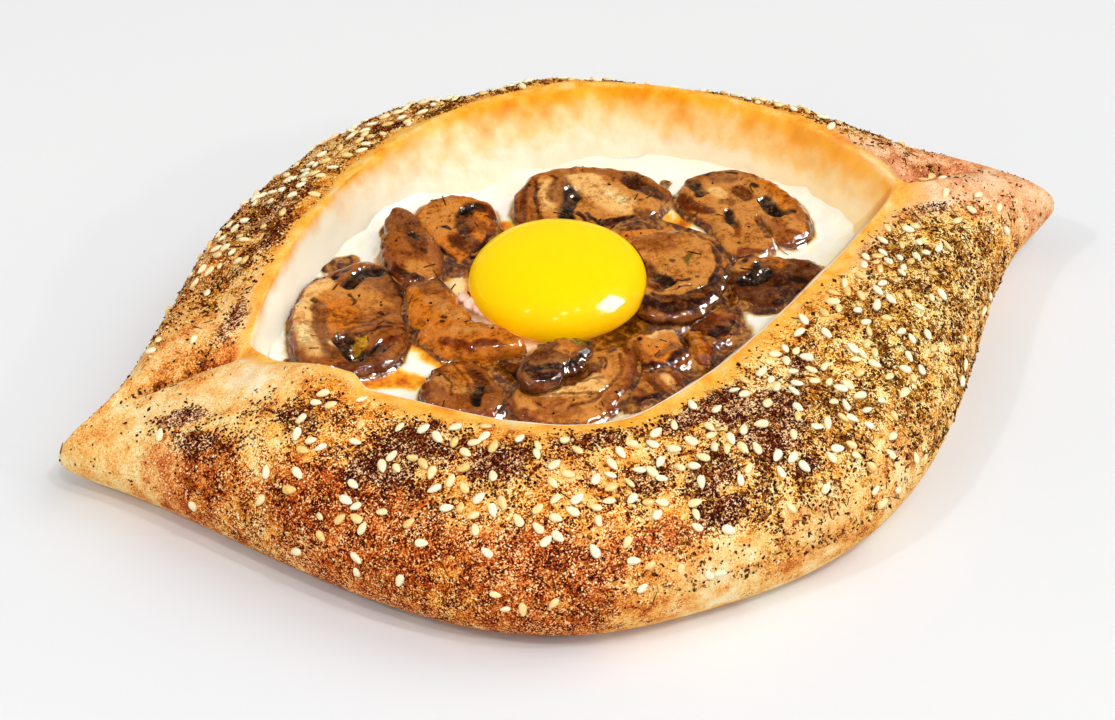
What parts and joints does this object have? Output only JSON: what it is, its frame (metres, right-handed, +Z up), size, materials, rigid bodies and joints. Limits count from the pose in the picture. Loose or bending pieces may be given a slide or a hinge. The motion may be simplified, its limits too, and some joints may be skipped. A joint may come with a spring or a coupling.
{
  "type": "khachapuri",
  "caption": "Boat-shaped flatbread with a thick rolled rim and two pinched tips, filled with melted cheese, fried mushroom slices and an egg yolk, its flanks sprinkled with sesame and herbs.",
  "frame": {"origin": "on the table under the middle of the line between the two tips", "axes": "+X along the bread from one tip to the other, +Z up, -Y towards the near flank"},
  "size_m": [0.247, 0.1781, 0.0383],
  "materials": {
    "crust": "baked dough, matt and speckled, with sesame seeds and dried herbs",
    "cheese": "melted cheese, moist",
    "yolk": "glossy and wet",
    "mushroom": "fried and oily",
    "garlic": "soft and moist"
  },
  "bodies": {
    "root": {"crust": "crust", "cheese": "cheese", "yolk": "yolk", "mushroom_near_top": "mushroom", "mushroom_disc": "mushroom", "mushroom_stem_far_left": "mushroom", "mushroom_crescent": "mushroom", "mushroom_near": "mushroom", "mushroom_left": "mushroom", "mushroom_far": "mushroom", "mushroom_far_right": "mushroom", "mushroom_far_left": "mushroom", "mushroom_right": "mushroom", "mushroom_near_left": "mushroom", "mushroom_stem_near": "mushroom", "mushroom_sliver_near": "mushroom", "mushroom_under_disc": "mushroom", "mushroom_wedge_near": "mushroom", "mushroom_stem_near_left": "mushroom", "mushroom_chip_near": "mushroom", "garlic_bit": "garlic"}
  },
  "joints": []
}
